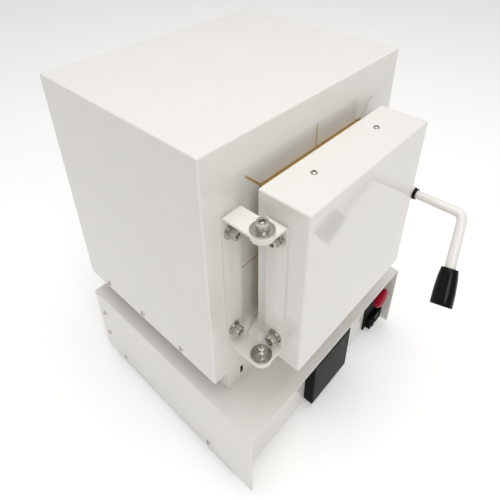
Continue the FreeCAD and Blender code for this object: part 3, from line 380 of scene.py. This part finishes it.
# Grip: a tapered handle moulded in black phenolic and polished, pressed on the bar's end.
# Phenolic takes a deep polish, so the highlights run unbroken down its length.
GRIP_LENGTH, GRIP_NECK, GRIP_END, GRIP_ROUNDING = 49 * MM, 11 * MM, 13.9 * MM, 2.4 * MM
LEVER_REACH, LEVER_LEG = 69 * MM, 73.5 * MM
LEVER_LEAN, LEVER_REST = math.radians(11.6), math.radians(45)
bpy.ops.object.select_all(action="DESELECT")
GRIP_BARREL = ((14 * MM, 12.8 * MM), (30 * MM, 13.8 * MM), (GRIP_LENGTH, GRIP_END))
bpy.ops.mesh.primitive_cylinder_add(vertices=64, radius=GRIP_NECK, depth=1 * MM,
                                    location=(0, 0, 0.5 * MM))
grip = bpy.context.object
grip.name = "polished_grip"
bpy.ops.object.transform_apply(location=True)
pick_end(grip, 1)
reached, girth = 1 * MM, GRIP_NECK
for height, radius in GRIP_BARREL:
    bpy.ops.mesh.extrude_region_move(TRANSFORM_OT_translate={"value": (0, 0, height - reached)})
    bpy.ops.transform.resize(value=(radius / girth, radius / girth, 1))
    reached, girth = height, radius
bpy.ops.object.mode_set(mode="OBJECT")
edge = grip.modifiers.new("edge", "BEVEL")
edge.width = GRIP_ROUNDING
edge.segments = 5
edge.limit_method = "ANGLE"
edge.angle_limit = math.radians(50)
bpy.ops.object.modifier_apply(modifier="edge")
bpy.ops.object.shade_smooth_by_angle(angle=math.radians(35))
latch_axis = Vector(next(joint["pos_m"] for joint in frame["joints"]
                         if joint["name"] == "latch_turn"))
corner = Vector((0, -LEVER_REACH - LEVER_LEG * math.sin(LEVER_LEAN),
                 -LEVER_LEG * math.cos(LEVER_LEAN)))
rest = Matrix.Rotation(LEVER_REST, 4, "Y")
grip.data.transform(Matrix.Translation(latch_axis) @ rest @ Matrix.Translation(corner)
                    @ Matrix.Rotation(math.pi - LEVER_LEAN, 4, "X"))
grip.data.materials.append(surface("polished_phenolic", ("#050506", "#0B0B0C"), 6 * MM,
                                   0.002 * MM, Roughness=0.08,
                                   Specular_IOR_Level=0.18))
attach(grip, "latch")
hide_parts("latch_grip")

# Controller: a deep case with a square front frame, injection-moulded in black ABS, clipped
# through the panel. The mould left a fine satin grain and small rounded edges.
satin_abs = surface("moulded_black_abs", ("#050505", "#090908"), 0.8 * MM, 0.01 * MM,
                    Roughness=0.6, Specular_IOR_Level=0.1)
coat(satin_abs, "controller_case", "switch_plate", "rocker_frame", "stop_collar", "cable_gland")
# Window: one pane of smoked acrylic over the whole face, cast and polished, with faint streaks
# where it has been wiped.
coat(surface("smoked_acrylic", ("#080706", "#12100D"), 22 * MM, 0.001 * MM, Roughness=0.2,
             Specular_IOR_Level=0.02),
     "controller_window")

# Rocker: a black key in its frame below the stop button, moulded in ABS from a polished tool,
# so it is smoother and glossier than the frame round it.
coat(surface("polished_black_abs", ("#050505", "#080808"), 6 * MM, 0.002 * MM, Roughness=0.4,
             Specular_IOR_Level=0.15),
     "rocker")

# Stop button: a mushroom cap turned over a neck, moulded in red polyamide. The cap is domed
# and its rim rolled, so a palm finds no edge.
button_low, button_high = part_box("stop_button")
CAP_RIM, CAP_DOME, NECK_RADIUS, DOME_STEPS = 5 * MM, 6 * MM, 9 * MM, 8
cap_radius = (button_high.x - button_low.x) / 2
bpy.ops.object.select_all(action="DESELECT")
bpy.ops.mesh.primitive_cylinder_add(vertices=64, radius=cap_radius, depth=CAP_RIM,
                                    location=(0, 0, CAP_RIM / 2))
button = bpy.context.object
button.name = "mushroom_button"
bpy.ops.object.transform_apply(location=True)
pick_end(button, 1)
for step in range(DOME_STEPS):
    lean, next_lean = (math.pi / 2 * (step + part) / (DOME_STEPS + 1) for part in (0, 1))
    bpy.ops.mesh.extrude_region_move(TRANSFORM_OT_translate={
        "value": (0, 0, CAP_DOME * (math.sin(next_lean) - math.sin(lean)))})
    ratio = math.cos(next_lean) / math.cos(lean)
    bpy.ops.transform.resize(value=(ratio, ratio, 1))
pick_end(button, -1)
bpy.ops.mesh.inset(thickness=cap_radius - NECK_RADIUS)
bpy.ops.mesh.extrude_region_move(TRANSFORM_OT_translate={
    "value": (0, 0, -(button_high.y - button_low.y - CAP_RIM - CAP_DOME))})
bpy.ops.object.mode_set(mode="OBJECT")
bpy.ops.object.shade_smooth_by_angle(angle=math.radians(40))
button.data.transform(Matrix.Translation(((button_low.x + button_high.x) / 2,
                                          button_low.y + CAP_RIM + CAP_DOME,
                                          (button_low.z + button_high.z) / 2))
                      @ Matrix.Rotation(math.pi / 2, 4, "X"))
button.data.materials.append(surface("moulded_red_polyamide", ("#86061A", "#9C0A22"), 5 * MM,
                                     0.005 * MM, Roughness=0.3, Specular_IOR_Level=0.06))
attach(button, "stop_button")
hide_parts("stop_button")

# Inside the base: a solid-state relay moulded in grey ABS on an extruded aluminium sink, and a
# terminal strip of the same grey.
coat(surface("extruded_aluminium", ("#A9ACAE", "#C6C9CB"), 5 * MM, 0.01 * MM, Metallic=1.0,
             Roughness=0.35), "heat_sink")
coat(surface("grey_moulded_abs", ("#7E8184", "#8F9295"), 0.8 * MM, 0.02 * MM, Roughness=0.5),
     "relay", "terminal_strip")

# Studio: seamless white paper, lit through from below so that it stays pale under the machine,
# a softbox overhead and one high at the front left. The air is dimmer near the horizon than above.
bpy.ops.object.select_all(action="DESELECT")
bpy.ops.mesh.primitive_plane_add(size=30)
floor = bpy.context.object
floor.name = "studio_floor"
floor.data.materials.append(surface("backlit_white_paper", ("#F6F6F5", "#FAFAF9"), 400 * MM,
                                    0.01 * MM, Roughness=0.9, Emission_Color=(1, 1, 1, 1),
                                    Emission_Strength=0.12))

world = bpy.data.worlds.new("studio_air")
bpy.context.scene.world = world
world.use_nodes = True
heading = add_node(world, "ShaderNodeTexCoord")
height = add_node(world, "ShaderNodeSeparateXYZ", [("Vector", heading, "Generated")])
sky = add_node(world, "ShaderNodeValToRGB", [("Fac", height, "Z")], ("#CBC7C2", "#FFFFFF"))
background = world.node_tree.nodes["Background"]
world.node_tree.links.new(sky.outputs["Color"], background.inputs["Color"])
background.inputs["Strength"].default_value = 0.7
bpy.context.scene.view_settings.view_transform = "Standard"


def softbox(name, place, aim, size, power):
    """A round soft light at a place, pointed at another."""
    bpy.ops.object.light_add(type="AREA", location=place)
    lamp = bpy.context.object
    lamp.name = name
    lamp.data.shape = "DISK"
    lamp.data.size = size
    lamp.data.energy = power
    lamp.rotation_euler = (Vector(aim) - Vector(place)).to_track_quat("-Z", "Y").to_euler()


softbox("overhead_softbox", (-0.1, -0.2, 2.3), (0, 0, 0.3), 1.6, 21)
softbox("key_softbox", (-0.9, -1.7, 2.1), (0, 0, 0.3), 1.2, 11)

# Camera: at the height of someone standing at the bench, off the left front corner, looking down
# on the machine. Its place is measured from that corner of the casing.
bpy.ops.object.camera_add()
camera = bpy.context.object
bpy.context.scene.camera = camera
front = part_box("casing_shell")[0].y
near_corner = Vector((-0.1875, front, 0.008))
EYE_FROM_CORNER = Vector((-0.215126, -0.263871, 0.748626))
SENSOR_WIDTH, LENS_RATIO = 36, 0.921188
pitch, yaw, roll = 0.572827, 0.823004, -0.009718
look = Vector((math.sin(yaw) * math.cos(pitch), math.cos(yaw) * math.cos(pitch), -math.sin(pitch)))
level = Vector((math.cos(yaw), -math.sin(yaw), 0))
upright = level.cross(look)
right = math.cos(roll) * level + math.sin(roll) * upright
up = -math.sin(roll) * level + math.cos(roll) * upright
aim = Matrix((right, up, -look)).transposed().to_4x4()
camera.matrix_world = Matrix.Translation(near_corner + EYE_FROM_CORNER) @ aim
camera.data.lens = SENSOR_WIDTH * LENS_RATIO
camera.data.shift_x = 0.000525
camera.data.shift_y = -0.190578
